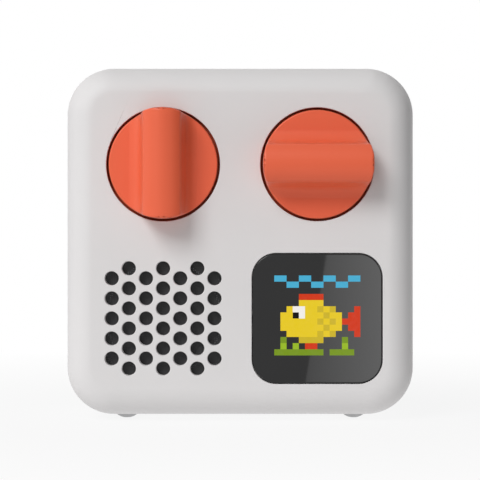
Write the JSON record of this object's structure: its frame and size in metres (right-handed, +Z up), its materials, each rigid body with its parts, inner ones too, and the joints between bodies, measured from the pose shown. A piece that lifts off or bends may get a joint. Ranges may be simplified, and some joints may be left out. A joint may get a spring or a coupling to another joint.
{
  "type": "audio story player",
  "caption": "Small square audio player with push-and-turn knobs, a loudspeaker grille, a pixel display and a card slot in its top.",
  "frame": {"origin": "on the plane of the feet, below the middle of the whole part's width and depth", "axes": "+X to the right seen from the front, +Y to the back (the front with the knobs faces -Y), +Z up"},
  "size_m": [0.0696, 0.0406, 0.0708],
  "materials": {
    "housing": "fine satin",
    "orange": "satin",
    "lens": "polished",
    "black_rubber": "matt",
    "diffuser": "matt",
    "black_plastic": "matt",
    "circuit_board": "lacquered",
    "led_white": "clear",
    "ribbon": "smooth",
    "mesh": "woven",
    "pressed_steel": "plated",
    "paper_cone": "felted",
    "copper": "wound",
    "magnet": "sintered",
    "brass": "turned",
    "steel": "zinc plated",
    "pouch_foil": "satin foil",
    "ivory_plastic": "satin",
    "red_wire": "smooth",
    "foam": "open cell",
    "foot_rubber": "matt"
  },
  "bodies": {
    "housing": {"front_shell": "housing", "rear_cover": "housing", "display_lens": "lens", "lens_gasket": "black_rubber", "diffuser_sheet": "diffuser", "pixel_grid": "black_plastic", "matrix_board": "circuit_board", "matrix_leds": "led_white", "matrix_ribbon": "ribbon", "acoustic_mesh": "mesh", "speaker_gasket": "black_rubber", "speaker_basket": "pressed_steel", "speaker_surround": "black_rubber", "speaker_cone": "paper_cone", "speaker_dust_cap": "paper_cone", "voice_coil": "copper", "speaker_magnet": "magnet", "speaker_yoke": "steel", "main_board": "circuit_board", "wifi_module": "pressed_steel", "amplifier_chip": "black_plastic", "usb_c_shell": "pressed_steel", "usb_c_tongue": "black_plastic", "headphone_jack": "black_plastic", "power_switch": "black_plastic", "memory_card_socket": "pressed_steel", "memory_card": "black_plastic", "battery": "pouch_foil", "battery_foam": "foam", "battery_connector": "ivory_plastic", "battery_wires": "red_wire", "speaker_wires": "red_wire", "nfc_board": "circuit_board", "nfc_coil": "copper", "card_chute": "black_plastic", "encoder_cans": "pressed_steel", "encoder_bushings": "brass", "encoder_bases": "black_plastic", "shell_screws": "steel", "board_screws": "steel", "foot_front_left": "foot_rubber", "foot_front_right": "foot_rubber", "foot_rear_left": "foot_rubber", "foot_rear_right": "foot_rubber"},
    "left_plunger": {"left_plunger": "ivory_plastic"},
    "left_knob": {"left_knob": "orange", "left_shaft": "steel"},
    "right_plunger": {"right_plunger": "ivory_plastic"},
    "right_knob": {"right_knob": "orange", "right_shaft": "steel"},
    "power_button": {"power_button": "housing"}
  },
  "joints": [
    {"name": "left_press", "type": "slide", "parent": "housing", "child": "left_plunger", "axis": [0, 1, 0], "range_m": [0, 0.0009], "stiffness_N_per_m": 3000, "springref_m": -0.0004},
    {"name": "left_turn", "type": "hinge", "parent": "left_plunger", "child": "left_knob", "pos_m": [-0.0153, -0.0127, 0.0513], "axis": [0, 1, 0], "continuous": true},
    {"name": "right_press", "type": "slide", "parent": "housing", "child": "right_plunger", "axis": [0, 1, 0], "range_m": [0, 0.0009], "stiffness_N_per_m": 3000, "springref_m": -0.0004},
    {"name": "right_turn", "type": "hinge", "parent": "right_plunger", "child": "right_knob", "pos_m": [0.0153, -0.0127, 0.0513], "axis": [0, 1, 0], "continuous": true},
    {"name": "power_press", "type": "slide", "parent": "housing", "child": "power_button", "axis": [-1, 0, 0], "range_m": [0, 0.0004], "stiffness_N_per_m": 2000, "springref_m": -0.0003}
  ]
}
